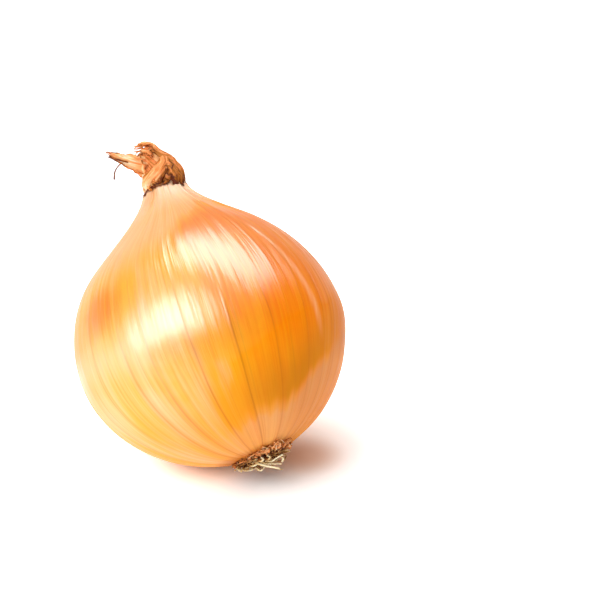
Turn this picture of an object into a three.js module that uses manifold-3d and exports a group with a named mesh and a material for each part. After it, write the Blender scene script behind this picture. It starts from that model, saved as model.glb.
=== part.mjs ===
// Yellow onion lying on its rounded flank, with its dry twisted neck and its trimmed roots.
// Millimetres, +Z up. The origin is the centre of the small flat spot that the bulb rests on.
// In the group's own frame the onion stands upright: its axis is Z, with the root plate at 0.
import * as THREE from "three";
import { mergeVertices } from "three/addons/utils/BufferGeometryUtils.js";
import Module from "manifold-3d";

const wasm = await Module();
wasm.setup();

// Outline of the bulb: a squat lower half, a taller shoulder, and a concave neck up to the collar
const BULB_RADIUS = 39.8;
const EQUATOR_HEIGHT = 37;
const SHOULDER_HALF_HEIGHT = 39.4;
const SHOULDER_END = 66;
const NECK_HEIGHT = 86;
const NECK_RADIUS = 6.2;
const NECK_SLOPE = -0.25;

// Its belly and its shoulder stand out to the left of the axis, and its lower right flank is flatter
const BELLY_SHIFT = 2.5;
const SHOULDER_SHIFT = 1.0;
const SHOULDER_SHIFT_HEIGHT = 62;
const SHOULDER_SHIFT_REACH = 10;
const FLANK_HOLLOW = 1.3;
const FLANK_HOLLOW_START = 3;
const FLANK_HOLLOW_TOP = 50;
const FLANK_HOLLOW_FADE = 15;
const TWO_LOBES = 0.01;
const THREE_LOBES = 0.006;

// Ribs of the skin, and the deeper pleats that gather it at the neck
const RIB_COUNT = 32;
const RIB_SCATTER = 0.5;
const RIB_HEIGHT = 0.22;
const RIB_SWIRL = 0.12;
const PLEAT_COUNT = 11;
const PLEAT_DEPTH = 0.4;
const PLEAT_START = 58;
const PLEAT_RUN = 24;

// Neck collar, with the shallow cup that the dry leaves come out of, and one tip of skin that stands up
const COLLAR_BORE = 5.1;
const COLLAR_CUP_DEPTH = 1.6;
const COLLAR_WAVE = 0.25;
const COLLAR_TIP_RISE = 1.3;
const COLLAR_TIP_AZIMUTH = -0.7;
const COLLAR_TIP_SPREAD = 0.4;

// Root end: a socket in the bulb, torn skin round its rim, and the plate that the roots grow from
const RIM_RADIUS = 8.2;
const SOCKET_RADIUS = 7.5;
const SOCKET_DEPTH = 2.2;
const TATTER_COUNT = 20;
const TATTER_LENGTH = [1.3, 3.0];
const TATTER_THICKNESS = 0.6;
const PLATE_RADIUS = 7.1;
const PLATE_BULGE = 1.1;
const ROOT_COUNT = 50;
const ROOT_RADIUS = 0.4;
const ROOT_LENGTH = [1.6, 3.3];
const ROOT_SUNK = 1.1;
const ROOT_DRIFT = 0.3;

// How it lies
const LEAN_BACK = THREE.MathUtils.degToRad(-35.6);
const LEAN_LEFT = THREE.MathUtils.degToRad(-20.2);
const FOOT_DEPTH = 0.5;
const FLOOR_CLEARANCE = 1.0;

const LEAF_THICKNESS = 0.8;
const GAP = 0.35;
const FULL_TURN = 2 * Math.PI;
const GOLDEN_ANGLE = Math.PI * (3 - Math.sqrt(5));

const clamp01 = (value) => Math.min(1, Math.max(0, value));

const smoothstep = (value) => clamp01(value) ** 2 * (3 - 2 * clamp01(value));

// A repeatable stream of random numbers.
function randomFrom(seed) {
  let state = seed;
  return (low = 0, high = 1) => {
    state = (state + 0x6d2b79f5) | 0;
    let mixed = Math.imul(state ^ (state >>> 15), 1 | state);
    mixed = (mixed + Math.imul(mixed ^ (mixed >>> 7), 61 | mixed)) ^ mixed;
    return low + ((high - low) * ((mixed ^ (mixed >>> 14)) >>> 0)) / 2 ** 32;
  };
}

// The value at share 0 to 1 along a list of evenly spaced values.
function valueAlong(values, share) {
  const place = share * (values.length - 1);
  const index = Math.min(values.length - 2, Math.floor(place));
  return values[index] + (values[index + 1] - values[index]) * (place - index);
}

// The smaller turn from one azimuth to another, from -PI to PI.
function turnBetween(from, to) {
  const turn = (to - from) % FULL_TURN;
  if (turn > Math.PI) return turn - FULL_TURN;
  return turn < -Math.PI ? turn + FULL_TURN : turn;
}

// Solids

function geometryOf(points, triangles) {
  const geometry = new THREE.BufferGeometry();
  geometry.setAttribute("position", new THREE.Float32BufferAttribute(points.flatMap((p) => p.toArray()), 3));
  geometry.setIndex(triangles.flat());
  return geometry;
}

function solidOf(geometry) {
  const bare = geometry.clone();
  bare.deleteAttribute("normal");
  bare.deleteAttribute("uv");
  const merged = mergeVertices(bare, 1e-5);
  const vertProperties = new Float32Array(merged.attributes.position.array);
  const triVerts = new Uint32Array(merged.index.array);
  return new wasm.Manifold(new wasm.Mesh({ numProp: 3, vertProperties, triVerts }));
}

function geometryOfSolid(solid) {
  const mesh = solid.getMesh();
  const geometry = new THREE.BufferGeometry();
  geometry.setAttribute("position", new THREE.Float32BufferAttribute(mesh.vertProperties, 3));
  geometry.setIndex(Array.from(mesh.triVerts));
  const faceted = geometry.toNonIndexed();
  faceted.computeVertexNormals();
  return faceted;
}

const joined = (solids) => solids.reduce((whole, solid) => whole.add(solid));

function largestPiece(solid) {
  const pieces = solid.decompose();
  return pieces.reduce((best, piece) => (piece.volume() > best.volume() ? piece : best));
}

// Rings of points, each anticlockwise seen from the end, closed by one point at each end.
function closedRings(rings, startPoint, endPoint) {
  const sides = rings[0].length;
  const points = [...rings.flat(), startPoint, endPoint];
  const start = rings.length * sides;
  const triangles = [];
  for (let side = 0; side < sides; side++) {
    const next = (side + 1) % sides;
    const last = (rings.length - 1) * sides;
    triangles.push([start, next, side]);
    triangles.push([start + 1, last + side, last + next]);
    for (let ring = 0; ring < rings.length - 1; ring++) {
      const low = ring * sides;
      const high = low + sides;
      triangles.push([low + side, low + next, high + next]);
      triangles.push([low + side, high + next, high + side]);
    }
  }
  return geometryOf(points, triangles);
}

// A thin sheet between two grids of points, split into triangles alike on both faces.
function closedSheet(outer, inner) {
  const rows = outer.length;
  const columns = outer[0].length;
  const points = [...outer.flat(), ...inner.flat()];
  const front = (row, column) => row * columns + column;
  const back = (row, column) => rows * columns + front(row, column);
  const triangles = [];
  for (let row = 0; row < rows - 1; row++) {
    for (let column = 0; column < columns - 1; column++) {
      const corners = [[row, column], [row, column + 1], [row + 1, column + 1], [row + 1, column]];
      const [a, b, c, d] = corners.map(([r, k]) => front(r, k));
      const [e, f, g, h] = corners.map(([r, k]) => back(r, k));
      triangles.push([a, b, c], [a, c, d], [e, g, f], [e, h, g]);
    }
  }
  const edge = [];
  for (let column = 0; column < columns - 1; column++) edge.push([0, column]);
  for (let row = 0; row < rows - 1; row++) edge.push([row, columns - 1]);
  for (let column = columns - 1; column > 0; column--) edge.push([rows - 1, column]);
  for (let row = rows - 1; row > 0; row--) edge.push([row, 0]);
  edge.forEach(([row, column], index) => {
    const [nextRow, nextColumn] = edge[(index + 1) % edge.length];
    const [a, b] = [front(row, column), front(nextRow, nextColumn)];
    const [c, d] = [back(row, column), back(nextRow, nextColumn)];
    triangles.push([a, c, d], [a, d, b]);
  });
  return geometryOf(points, triangles);
}

// A cupped leaf along a path. Its outer face turns away from the hub, and its edges curl towards it.
function leaf({ path, widths, cups, hub, thickness = LEAF_THICKNESS, steps = 8, across = 4, crumple = 0 }) {
  const curve = new THREE.CatmullRomCurve3(path.map((p) => new THREE.Vector3(...p)), false, "catmullrom", 0.5);
  const outer = [];
  const inner = [];
  for (let step = 0; step <= steps; step++) {
    const share = step / steps;
    const centre = curve.getPoint(share);
    const along = curve.getTangent(share);
    const out = centre.clone().sub(new THREE.Vector3(...hub));
    out.addScaledVector(along, -out.dot(along)).normalize();
    const side = along.clone().cross(out);
    const cup = valueAlong(cups, share);
    const bend = valueAlong(widths, share) / 2 / Math.sin(cup);
    const rows = [[], []];
    for (let column = 0; column <= across; column++) {
      const angle = cup * ((2 * column) / across - 1);
      const normal = side.clone().multiplyScalar(Math.sin(angle)).addScaledVector(out, Math.cos(angle));
      const wave = crumple * Math.sin(5 * share + 2.6 * column) * Math.sin(9 * share + 1.3 * column);
      const middle = centre.clone().addScaledVector(out, -bend).addScaledVector(normal, bend + wave);
      rows[0].push(middle.clone().addScaledVector(normal, thickness / 2));
      rows[1].push(middle.clone().addScaledVector(normal, -thickness / 2));
    }
    outer.push(rows[0]);
    inner.push(rows[1]);
  }
  return solidOf(closedSheet(outer, inner));
}

// Bulb

function ribAzimuths() {
  const random = randomFrom(11);
  return Array.from({ length: RIB_COUNT }, (_, rib) => {
    return ((rib + RIB_SCATTER * random(-0.5, 0.5)) / RIB_COUNT) * FULL_TURN;
  });
}

// Three columns of points for each rib: its crest and the two hollows before the next one.
function bulbColumns() {
  const ribs = ribAzimuths();
  return ribs.flatMap((azimuth, rib) => {
    const next = rib + 1 < RIB_COUNT ? ribs[rib + 1] : ribs[0] + FULL_TURN;
    return [0, 0.3, 0.7].map((share) => ({ azimuth: azimuth + share * (next - azimuth), crest: share === 0 }));
  });
}

// The bulb's outline as rows of radius and height, each with the way that its surface faces.
function bulbOutline() {
  const rows = [];
  const add = (radius, height, facesOut, facesUp, round = false) =>
    rows.push({ radius, height, facesOut, facesUp, round });
  const rimAngle = Math.asin(RIM_RADIUS / BULB_RADIUS);
  const rimHeight = EQUATOR_HEIGHT * (1 - Math.cos(rimAngle));
  add(SOCKET_RADIUS, SOCKET_DEPTH, -1, -1, true);
  add(SOCKET_RADIUS + 0.3, rimHeight - 0.3, -1, -1, true);

  const belly = 13;
  for (let step = 0; step <= belly; step++) {
    const angle = rimAngle + (Math.PI / 2 - rimAngle) * (step / belly);
    const out = Math.sin(angle);
    const up = -Math.cos(angle);
    add(BULB_RADIUS * out, EQUATOR_HEIGHT * (1 + up), out, up);
  }
  const shoulderAngle = Math.asin((SHOULDER_END - EQUATOR_HEIGHT) / SHOULDER_HALF_HEIGHT);
  const shoulder = 7;
  for (let step = 1; step <= shoulder; step++) {
    const angle = shoulderAngle * (step / shoulder);
    const out = Math.cos(angle);
    const up = Math.sin(angle);
    add(BULB_RADIUS * out, EQUATOR_HEIGHT + SHOULDER_HALF_HEIGHT * up, out, up);
  }

  const startRadius = BULB_RADIUS * Math.cos(shoulderAngle);
  const startSlope = (-BULB_RADIUS / SHOULDER_HALF_HEIGHT) * Math.tan(shoulderAngle);
  const length = NECK_HEIGHT - SHOULDER_END;
  const neck = 9;
  for (let step = 1; step <= neck; step++) {
    const s = step / neck;
    const radius =
      startRadius * (1 + 2 * s) * (1 - s) ** 2 +
      NECK_RADIUS * s * s * (3 - 2 * s) +
      length * (startSlope * s * (1 - s) ** 2 + NECK_SLOPE * s * s * (s - 1));
    add(radius, SHOULDER_END + length * s, 1, step < neck ? 0.8 : 1);
  }
  add(COLLAR_BORE, NECK_HEIGHT, -1, 1, true);
  add(COLLAR_BORE - 0.2, NECK_HEIGHT - COLLAR_CUP_DEPTH, -1, 1, true);
  return rows;
}

// How high the collar's edge stands over its mean height.
function collarRise(azimuth) {
  const turn = turnBetween(COLLAR_TIP_AZIMUTH, azimuth) / COLLAR_TIP_SPREAD;
  return COLLAR_TIP_RISE * Math.exp(-turn * turn) + COLLAR_WAVE * Math.sin(5 * azimuth);
}

// How far the middle of a level lies to the right of the onion's axis.
function middleAt(height) {
  const belly = BELLY_SHIFT * Math.sin(Math.PI * clamp01(height / NECK_HEIGHT));
  const shoulder = (height - SHOULDER_SHIFT_HEIGHT) / SHOULDER_SHIFT_REACH;
  return -belly - SHOULDER_SHIFT * Math.exp(-shoulder * shoulder);
}

// The bulb as one closed body, or a larger one that keeps its neighbours a gap away.
function bulbSolid(grow = 0) {
  const columns = bulbColumns();
  const rings = bulbOutline().map(({ radius, height, facesOut, facesUp, round }) => {
    const share = height / NECK_HEIGHT;
    const fullness = Math.sin(Math.PI * clamp01(share));
    const hollowStart = smoothstep(height / FLANK_HOLLOW_START);
    const hollow = FLANK_HOLLOW * hollowStart * smoothstep((FLANK_HOLLOW_TOP - height) / FLANK_HOLLOW_FADE);
    const pleat = PLEAT_DEPTH * smoothstep((height - PLEAT_START) / PLEAT_RUN);
    const collar = smoothstep((height - NECK_HEIGHT + 2) / 2);
    return columns.map(({ azimuth, crest }) => {
      const turned = azimuth + RIB_SWIRL * (share - 0.5);
      const lobes = TWO_LOBES * Math.sin(2 * azimuth) + THREE_LOBES * Math.sin(3 * azimuth);
      const fold = pleat * Math.cos(PLEAT_COUNT * azimuth + 2 * Math.sin(2 * azimuth));
      const rib = crest ? RIB_HEIGHT * Math.sqrt(fullness) : 0;
      const flank = hollow * ((1 + Math.cos(azimuth)) / 2) ** 2;
      const outward = round ? radius : radius * (1 + lobes * fullness) + fold + rib - flank;
      const reach = outward + grow * facesOut;
      return new THREE.Vector3(
        reach * Math.cos(turned) + middleAt(height),
        reach * Math.sin(turned),
        height + grow * facesUp + collar * collarRise(azimuth),
      );
    });
  });
  const rootPole = new THREE.Vector3(0, 0, SOCKET_DEPTH - grow);
  const neckPole = new THREE.Vector3(0, 0, NECK_HEIGHT - COLLAR_CUP_DEPTH + grow);
  return solidOf(closedRings(rings, rootPole, neckPole));
}

// Torn tips of skin that stand off the bulb round its root plate.
function tatters() {
  const random = randomFrom(5);
  return Array.from({ length: TATTER_COUNT }, (_, index) => {
    const azimuth = ((index + random(0, 0.7)) / TATTER_COUNT) * FULL_TURN;
    const length = random(...TATTER_LENGTH);
    const width = random(1.4, 2.6);
    const at = (radius, height) => [radius * Math.cos(azimuth), radius * Math.sin(azimuth), height];
    return leaf({
      path: [at(RIM_RADIUS - 0.3, 1.5), at(RIM_RADIUS + 0.3, 0.6), at(RIM_RADIUS + length, random(0.4, 0.6))],
      widths: [width, 0.8 * width, 0.6],
      cups: [0.3, 0.3, 0.2],
      hub: [0, 0, EQUATOR_HEIGHT],
      thickness: TATTER_THICKNESS,
      steps: 3,
      across: 1,
    });
  });
}

// Dry neck

// The twisted bundle in the middle of the neck: half widths along X and Y at heights over the collar.
const BUNDLE = [
  { height: -1.4, x: 0, halfX: 4.9, halfY: 4.9 },
  { height: 0.5, x: 0.1, halfX: 5.6, halfY: 5.3 },
  { height: 2.4, x: 0.3, halfX: 5.7, halfY: 5.0 },
  { height: 5.5, x: 0.5, halfX: 4.7, halfY: 3.9 },
  { height: 8.6, x: 0.4, halfX: 3.7, halfY: 2.9 },
  { height: 11.2, x: -0.1, halfX: 2.8, halfY: 2.1 },
  { height: 13.6, x: -0.3, halfX: 1.9, halfY: 1.5 },
];
const BUNDLE_FOLDS = 7;
const BUNDLE_TWIST = 0.14;

function bundle() {
  const sides = 35;
  const rings = BUNDLE.map(({ height, x, halfX, halfY }) => {
    return Array.from({ length: sides }, (_, side) => {
      const azimuth = (side / sides) * FULL_TURN;
      const fold = 1 + 0.11 * Math.cos(BUNDLE_FOLDS * azimuth + BUNDLE_FOLDS * BUNDLE_TWIST * height);
      return new THREE.Vector3(
        x + halfX * fold * Math.cos(azimuth),
        halfY * fold * Math.sin(azimuth),
        NECK_HEIGHT + height,
      );
    });
  });
  const bottom = new THREE.Vector3(0, 0, NECK_HEIGHT + BUNDLE[0].height);
  const top = new THREE.Vector3(-0.4, 0, NECK_HEIGHT + BUNDLE.at(-1).height + 1);
  return solidOf(closedRings(rings, bottom, top));
}

// The dry leaves. Paths and hubs are X, Y and height over the collar.
const LEAVES = [
  { // wraps the right side and folds over the top
    path: [[5.4, -0.3, 0.5], [6.2, -0.6, 3], [5.5, -0.8, 6], [4.2, -0.8, 8.7], [2.6, -0.8, 11.3],
      [1.5, -0.8, 13.6], [-0.3, -0.8, 14.8], [-2.3, -0.9, 15.3]],
    widths: [9, 9.4, 8.4, 7, 5.6, 4.6, 3.6, 2.2],
    cups: [0.9, 1, 1, 1, 0.9, 0.8, 0.6, 0.4],
    hub: [-2, -0.5, 4],
    steps: 14,
    crumple: 0.25,
  },
  { // the beak that points left
    path: [[-1.2, -1.4, 6.9], [-4.5, -2.0, 9.1], [-7.3, -2.2, 11.2], [-9.6, -2.1, 13.2], [-11.8, -1.8, 15.3]],
    widths: [7.2, 5.6, 3.9, 2.6, 1.0],
    cups: [0.5, 0.7, 0.8, 0.8, 0.5],
    hub: [-4, 8, 10],
    steps: 9,
    crumple: 0.12,
  },
  { // a narrower leaf behind the beak
    path: [[-1.2, 0.6, 5.8], [-4.8, -0.2, 7.8], [-7.6, -0.8, 10.1], [-9.9, -1.3, 12.3], [-12.0, -1.6, 14.1]],
    widths: [5.6, 4.2, 2.8, 1.8, 0.8],
    cups: [0.5, 0.6, 0.6, 0.5, 0.4],
    hub: [-6, -8, 14],
    steps: 8,
  },
  { // a thread that hangs from the beak
    path: [[-8.8, -1.6, 11.5], [-10.6, -2.3, 10.8], [-12.2, -2.7, 9.7], [-13.0, -2.7, 8.2]],
    widths: [1.0, 0.7, 0.6, 0.6],
    cups: [0.2, 0.2],
    hub: [-6, 6, 4],
    thickness: 0.6,
    steps: 5,
    across: 1,
  },
  { // folds over the front from lower left to upper right
    path: [[-4.9, -2.2, 0.6], [-3.0, -4.4, 2.1], [0.5, -5.2, 3.9], [3.2, -4.4, 6.7], [3.0, -2.8, 9.7]],
    widths: [4.6, 5.6, 5.2, 4.0, 2.0],
    cups: [0.7, 0.7, 0.7, 0.6, 0.5],
    hub: [0, 0, 4],
    steps: 9,
    crumple: 0.2,
  },
  { // folds over the back from lower right to upper left
    path: [[4.6, 2.8, 0.6], [2.0, 4.9, 2.4], [-1.6, 4.8, 5], [-3.4, 3.4, 7.8], [-3.6, 1.9, 10.6]],
    widths: [4.8, 5.8, 5.6, 4.6, 2.4],
    cups: [0.7, 0.7, 0.7, 0.6, 0.5],
    hub: [0, 0, 4],
    steps: 9,
    crumple: 0.2,
  },
  { // stands up the left side
    path: [[-5.0, 0.6, 0.5], [-5.4, 0.3, 3], [-4.8, 0, 5.8], [-4.3, -0.3, 8.6], [-3.5, -0.6, 11.7]],
    widths: [8, 7.8, 6.4, 5.0, 2.6],
    cups: [0.8, 0.8, 0.8, 0.7, 0.5],
    hub: [1, 0, 5],
    steps: 9,
    crumple: 0.15,
  },
  { // frayed ends at the top
    path: [[0.4, -1.2, 12.6], [-1.4, -1.9, 14.5], [-3.2, -2.2, 15.8]],
    widths: [2.6, 1.6, 0.8],
    cups: [0.5, 0.4],
    hub: [0, 2, 10],
    steps: 4,
    across: 2,
  },
  {
    path: [[0, 0.6, 12.1], [-1.6, 1.0, 13.4], [-3.4, 1.0, 13.8]],
    widths: [2.8, 1.8, 0.8],
    cups: [0.5, 0.4],
    hub: [0, -2, 9],
    steps: 4,
    across: 2,
  },
];

function dryNeck() {
  const leaves = LEAVES.map((each) => {
    const raise = ([x, y, height]) => [x, y, NECK_HEIGHT + height];
    return leaf({ ...each, path: each.path.map(raise), hub: raise(each.hub) });
  });
  return largestPiece(joined([bundle(), ...leaves]).subtract(bulbSolid(GAP)));
}

// Roots

function rootPlate() {
  const sides = 40;
  const bulge = (radius) => -PLATE_BULGE * (1 - (radius / PLATE_RADIUS) ** 2);
  const outline = [0.3, 0.6, 0.85, 1].map((share) => [share * PLATE_RADIUS, bulge(share * PLATE_RADIUS)]);
  outline.push([PLATE_RADIUS, 1.0], [PLATE_RADIUS - 0.4, SOCKET_DEPTH - GAP]);
  const rings = outline.map(([radius, height]) => {
    return Array.from({ length: sides }, (_, side) => {
      const azimuth = (side / sides) * FULL_TURN;
      const rough = 1 - 0.02 * (1 + Math.sin(9 * azimuth)) * (height < 1 ? 1 : 0);
      return new THREE.Vector3(rough * radius * Math.cos(azimuth), rough * radius * Math.sin(azimuth), height);
    });
  });
  const bottom = new THREE.Vector3(0, 0, bulge(0));
  const top = new THREE.Vector3(0, 0, SOCKET_DEPTH - GAP);
  return solidOf(closedRings(rings, bottom, top));
}

// A five-sided root along a path, thinner at its cut end.
function rootTube(path, across) {
  const steps = 4;
  const sides = 5;
  const curve = new THREE.CatmullRomCurve3(path, false, "catmullrom", 0.5);
  const rings = [];
  for (let step = 0; step <= steps; step++) {
    const centre = curve.getPoint(step / steps);
    const along = curve.getTangent(step / steps);
    const side = across.clone().cross(along).normalize();
    const up = along.clone().cross(side);
    const radius = ROOT_RADIUS * (1 - 0.35 * (step / steps));
    rings.push(Array.from({ length: sides }, (_, corner) => {
      const angle = (corner / sides) * FULL_TURN;
      return centre
        .clone()
        .addScaledVector(side, radius * Math.cos(angle))
        .addScaledVector(up, radius * Math.sin(angle));
    }));
  }
  return solidOf(closedRings(rings, curve.getPoint(0), curve.getPoint(1)));
}

// Roots spread over the plate by the golden angle, those near its edge lying outwards.
function roots(toWorld) {
  const random = randomFrom(23);
  const toOnion = toWorld.clone().invert();
  const bentClear = (point) => {
    if (Math.hypot(point.x, point.y) > SOCKET_RADIUS - 0.5) point.z = Math.min(point.z, -0.9);
    const placed = point.clone().applyMatrix4(toWorld);
    placed.z = Math.max(placed.z, FLOOR_CLEARANCE);
    return placed.applyMatrix4(toOnion);
  };
  return Array.from({ length: ROOT_COUNT }, (_, index) => {
    const share = Math.sqrt((index + 0.5) / ROOT_COUNT);
    const azimuth = index * GOLDEN_ANGLE + random(-0.2, 0.2);
    const outward = new THREE.Vector3(Math.cos(azimuth), Math.sin(azimuth), 0);
    const across = new THREE.Vector3(-Math.sin(azimuth), Math.cos(azimuth), 0);
    const radius = 0.93 * PLATE_RADIUS * share;
    const base = outward.clone().multiplyScalar(radius);
    base.z = -PLATE_BULGE * (1 - (radius / PLATE_RADIUS) ** 2);
    const length = random(...ROOT_LENGTH);
    const spread = 0.1 + 0.6 * share + random(-0.3, 0.3);
    const swing = random(-0.7, 0.7);
    const along = (turn, sway) =>
      outward
        .clone()
        .multiplyScalar(Math.sin(turn))
        .addScaledVector(across, sway)
        .add(new THREE.Vector3(ROOT_DRIFT, 0, -Math.cos(turn)));
    const sunk = base.clone().addScaledVector(outward, -0.4);
    sunk.z += ROOT_SUNK;
    const middle = base.clone().addScaledVector(along(spread, 0.4 * swing), 0.5 * length);
    const tip = middle.clone().addScaledVector(along(spread + random(-0.5, 0.5), swing), 0.5 * length);
    return rootTube([sunk, base, bentClear(middle), bentClear(tip)], across);
  });
}

// The whole onion

function meshOf(name, solid, colour, roughness) {
  const material = new THREE.MeshStandardMaterial({ color: colour, roughness, metalness: 0 });
  const mesh = new THREE.Mesh(geometryOfSolid(solid), material);
  mesh.name = name;
  return mesh;
}

// The solid's points once they are turned and placed.
function pointsOf(solid, matrix) {
  const { vertProperties } = solid.getMesh();
  return Array.from({ length: vertProperties.length / 3 }, (_, index) => {
    return new THREE.Vector3().fromArray(vertProperties, 3 * index).applyMatrix4(matrix);
  });
}

// The middle of the flat spot that touches the floor.
function middleOfFoot(solid, matrix) {
  const touching = pointsOf(solid, matrix).filter((point) => Math.abs(point.z) < 1e-3);
  const box = new THREE.Box3().setFromPoints(touching);
  return box.getCenter(new THREE.Vector3());
}

const onion = new THREE.Group();
onion.name = "onion";
onion.rotation.set(LEAN_BACK, LEAN_LEFT, 0, "XYZ");
onion.updateMatrix();

const wholeBulb = joined([bulbSolid(), ...tatters()]);
const lowest = Math.min(...pointsOf(wholeBulb, onion.matrix).map((point) => point.z));
onion.position.z = -lowest - FOOT_DEPTH;
onion.updateMatrix();

const belowFloor = new THREE.BoxGeometry(4 * BULB_RADIUS, 4 * BULB_RADIUS, BULB_RADIUS)
  .translate(0, 0, -BULB_RADIUS / 2)
  .applyMatrix4(onion.matrix.clone().invert());
const bulb = largestPiece(wholeBulb.subtract(solidOf(belowFloor)));
const foot = middleOfFoot(bulb, onion.matrix);
onion.position.x = -foot.x;
onion.position.y = -foot.y;
onion.updateMatrix();

const rootTuft = largestPiece(joined([rootPlate(), ...roots(onion.matrix)]).subtract(bulbSolid(GAP)));

onion.add(meshOf("bulb", bulb, 0xe8912f, 0.3));
onion.add(meshOf("dry_neck", dryNeck(), 0xb8743c, 0.7));
onion.add(meshOf("roots", rootTuft, 0xcdb27c, 0.8));

const part = new THREE.Group();
part.add(onion);

export default part;
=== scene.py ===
# A whole yellow onion that lies on its flank: fine papery skin, dry twisted neck and dry roots.
import math

import bpy
import numpy as np
from mathutils import Matrix, Vector


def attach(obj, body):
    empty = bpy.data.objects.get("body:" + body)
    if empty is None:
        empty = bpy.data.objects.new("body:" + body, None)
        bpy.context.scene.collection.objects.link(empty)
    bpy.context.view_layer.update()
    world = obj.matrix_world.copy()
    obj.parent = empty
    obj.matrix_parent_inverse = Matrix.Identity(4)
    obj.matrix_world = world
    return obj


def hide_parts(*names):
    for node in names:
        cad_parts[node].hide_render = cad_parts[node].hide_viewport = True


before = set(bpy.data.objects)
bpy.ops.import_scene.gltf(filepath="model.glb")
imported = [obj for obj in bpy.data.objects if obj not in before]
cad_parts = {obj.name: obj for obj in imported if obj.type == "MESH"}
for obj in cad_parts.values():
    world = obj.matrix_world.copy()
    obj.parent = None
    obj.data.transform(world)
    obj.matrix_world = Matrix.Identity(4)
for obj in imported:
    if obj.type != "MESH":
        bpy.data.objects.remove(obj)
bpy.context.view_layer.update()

MM = 0.001
TURN = 2 * math.pi
RIPPLE_WAVES = 14

# The onion in its own frame, in millimetres: its axis is Z, with the root plate at 0.
# It is turned and then moved to where it lies.
LEAN_BACK = math.radians(-35.6)
LEAN_LEFT = math.radians(-20.2)
ROOT_END = Vector((15.64, -22.592, 9.573))

# Outline of the bulb, and how many rows of points each stretch of it has
BELLY_ROWS = 104
SHOULDER_ROWS = 64
NECK_ROWS = 64
BULB_RADIUS = 39.8
EQUATOR_HEIGHT = 37.0
SHOULDER_HALF_HEIGHT = 39.4
SHOULDER_END = 66.0
NECK_HEIGHT = 86.0
NECK_RADIUS = 6.2
NECK_SLOPE = -0.25
BELLY_SHIFT = 2.5
SHOULDER_SHIFT = 1.0
SHOULDER_SHIFT_HEIGHT = 62.0
SHOULDER_SHIFT_REACH = 10.0
FLANK_HOLLOW = 1.3
FLANK_HOLLOW_START = 3.0
FLANK_HOLLOW_TOP = 36.0
FLANK_HOLLOW_FADE = 15.0
TWO_LOBES = 0.01
THREE_LOBES = 0.006

# Ribs, pleats, collar, with its tip's azimuth in radians, and root end
RIB_COUNT = 32
RIB_SCATTER = 0.5
RIB_HEIGHT = 0.05
RIB_SWIRL = 0.12
RIB_WANDER = 0.008
PLEAT_COUNT = 11
PLEAT_DEPTH = 0.4
PLEAT_START = 58.0
PLEAT_RUN = 24.0
COLLAR_BORE = 5.1
COLLAR_CUP_DEPTH = 1.6
COLLAR_WAVE = 0.25
COLLAR_TIP_RISE = 1.3
COLLAR_TIP_AZIMUTH = -0.7
COLLAR_TIP_SPREAD = 0.4
CREASE_START = 84.8
RIM_RADIUS = 8.2
SOCKET_RADIUS = 7.5
SOCKET_DEPTH = 2.2
PLATE_RADIUS = 7.1
PLATE_BULGE = 1.1
GOLDEN_ANGLE = math.pi * (3 - math.sqrt(5))

# Ribs seen from the front: where each runs, in degrees, and how dark its vein is
FIRST_FRONT_RIB = 19
FRONT_VEINS = [
    (-145, 0.5), (-137, 0.25), (-126, 0.8), (-114.5, 1), (-97.5, 1), (-90, 0.35),
    (-80, 1), (-62.5, 0.75), (-54, 0.2), (-45, 0.55), (-33.5, 0.7), (-23.9, 0.5),
]

# The upper edge of the painted floor reflection, a salmon band low on the skin, in degrees and millimetres
REFLECTION_EDGE_AZIMUTHS = [-180, -102, -90, -80, -58, -48, -40, -31, -24, -13, 30, 180]
REFLECTION_EDGE_HEIGHTS = [3, 6.6, 8.2, 9.6, 9.6, 12.7, 16.4, 18.4, 21.5, 26, 32, 3]

# The dull outer layer of skin at the neck, and the loose lap on the right shoulder: azimuths in degrees
LAYER_EDGE = 75.5
LAYER_DROP = 17.0
LAYER_LOW_AZIMUTH = -140
LAYER_LOW_SPREAD = 0.96
LAP_AZIMUTH = -46
LAP_HEIGHT = 60.0
LAP_SLANT = 0.3
LAP_START = 22.0
LAP_END = 66.0
LAP_RISE = 0.22

# Sides of the bulb that differ in colour or gloss, as azimuths in degrees
# the middle of the painted floor reflection
FLOOR_REFLECTION_AZIMUTH = -45
# the middle of the painted olive shade
PAINTED_SHADE_AZIMUTH = -54
HIGHLIGHT_AZIMUTH = -150
RIGHT_FLANK_AZIMUTH = -8
LEFT_FLANK_AZIMUTH = -172

# Soft spots: azimuth in degrees, height, spread round the onion in radians, reach up and down, strength
FLANK_BULGE = [(-12, 26, 0.5, 11, 0.9)]
TAN_COLLAR = [(-132, 83, 0.55, 5.5, 1.0)]
WARM_SPOTS = [
    (-137, 52, 0.26, 9, 0.75),
    (-60, 66, 0.5, 5, 0.5),
    (-49, 36, 0.3, 12, 0.3),
    (-97, 62, 0.2, 6, 0.25),
    (-165, 50, 0.3, 14, 0.35),
    (-79, 24, 0.3, 10, -0.12),
    (-112, 24, 0.3, 10, 0.07),
    (150, 24, 0.75, 26, 0.35),
]
DULL_SPOTS = [
    (-54, 34, 0.4, 12, 0.7),
    (-132, 83, 0.55, 5.5, 0.6),
    (-137, 52, 0.3, 10, 0.4),
]
# brown spots; the one at -172 is painted shade along the left flank
BROWN_SPOTS_AND_FLANK_SHADE = [
    (-147, 48, 0.22, 9, 0.3),
    (-172, 48, 0.42, 16, 0.65),
    (-118, 8, 0.7, 10, 0.45),
    (150, 24, 0.75, 26, 0.3),
]

# Shares of the way from one rib to the next at which the skin has a line of points, closest at the ribs
RIB_STEPS = np.array([0, 0.025, 0.06, 0.12, 0.22, 0.36, 0.5, 0.64, 0.78, 0.88, 0.94, 0.975])


def placement():
    """The matrix from the onion's own frame in millimetres to the row frame in metres."""
    turned = Matrix.Rotation(LEAN_BACK, 4, "X") @ Matrix.Rotation(LEAN_LEFT, 4, "Y")
    return Matrix.Scale(MM, 4) @ Matrix.Translation(ROOT_END) @ turned


PLACEMENT = np.array(placement())


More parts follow.
